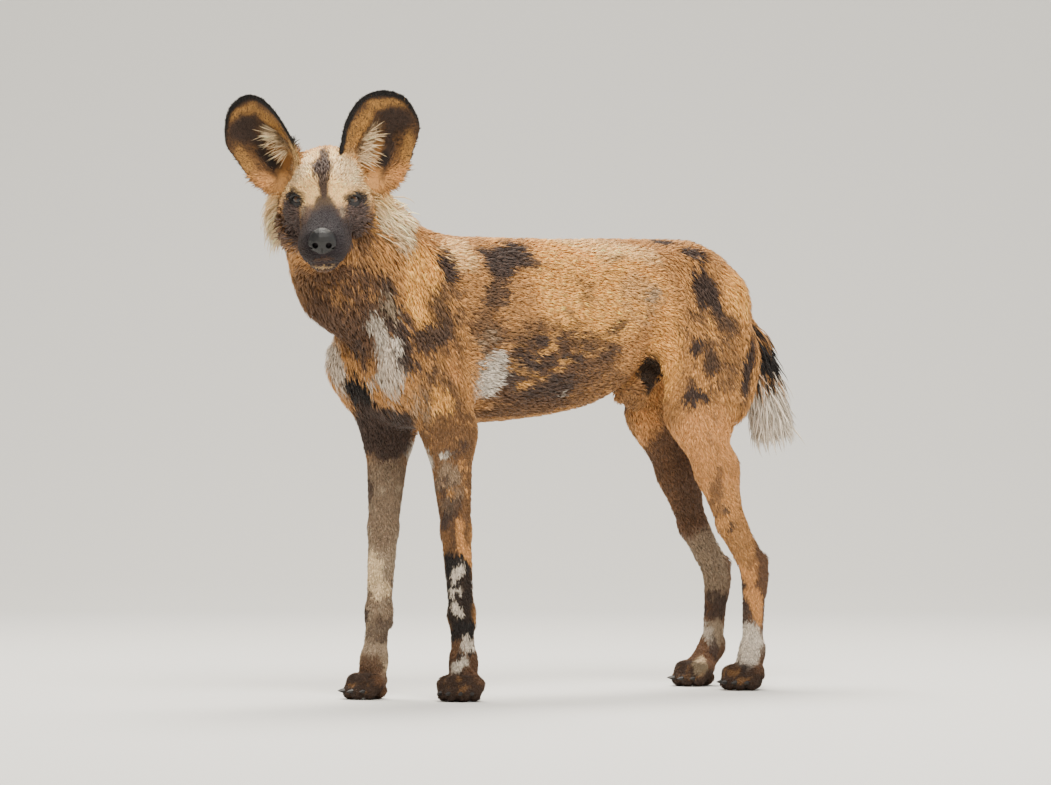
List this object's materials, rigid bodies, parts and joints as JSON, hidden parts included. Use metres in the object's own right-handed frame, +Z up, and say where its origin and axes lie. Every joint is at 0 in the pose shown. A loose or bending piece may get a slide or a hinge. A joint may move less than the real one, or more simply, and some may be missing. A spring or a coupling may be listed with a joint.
{
  "type": "african wild dog",
  "caption": "Life-size standing African wild dog, a male with large round ears and a blotched coat, its head turned to its left; a still display animal.",
  "frame": {"origin": "on the ground, under the middle of the model's outline", "axes": "the dog faces -X with its left side towards -Y and stands up along +Z; its head is turned to its left"},
  "size_m": [1.002, 0.262, 0.9194],
  "materials": {
    "tan_fur": "short rough fur, golden tan with black, brown and white blotches",
    "dark_fur": "short black-brown fur",
    "mask_fur": "very short charcoal fur of the mask, cream on the forehead",
    "pale_fur": "long white brush over a black ring and a tan root",
    "bare_skin": "thinly haired brown skin",
    "nose": "black, moist, fine grain",
    "claw": "dark horn",
    "eye": "amber brown iris with a round black pupil, clear wet surface"
  },
  "bodies": {
    "root": {"torso": "tan_fur", "foreleg_upper_left": "tan_fur", "foreleg_lower_left": "tan_fur", "forepaw_left": "dark_fur", "claw_fore_left_1": "claw", "claw_fore_left_2": "claw", "claw_fore_left_3": "claw", "claw_fore_left_4": "claw", "foreleg_upper_right": "tan_fur", "foreleg_lower_right": "tan_fur", "forepaw_right": "dark_fur", "claw_fore_right_1": "claw", "claw_fore_right_2": "claw", "claw_fore_right_3": "claw", "claw_fore_right_4": "claw", "hindleg_upper_left": "tan_fur", "hindleg_lower_left": "tan_fur", "hindpaw_left": "dark_fur", "claw_hind_left_1": "claw", "claw_hind_left_2": "claw", "claw_hind_left_3": "claw", "claw_hind_left_4": "claw", "hindleg_upper_right": "tan_fur", "hindleg_lower_right": "tan_fur", "hindpaw_right": "dark_fur", "claw_hind_right_1": "claw", "claw_hind_right_2": "claw", "claw_hind_right_3": "claw", "claw_hind_right_4": "claw", "tail": "pale_fur", "neck": "tan_fur", "eye_right": "eye", "eye_left": "eye", "nose": "nose", "head": "mask_fur", "ear_left": "dark_fur", "ear_right": "dark_fur", "sheath": "bare_skin"}
  },
  "joints": []
}
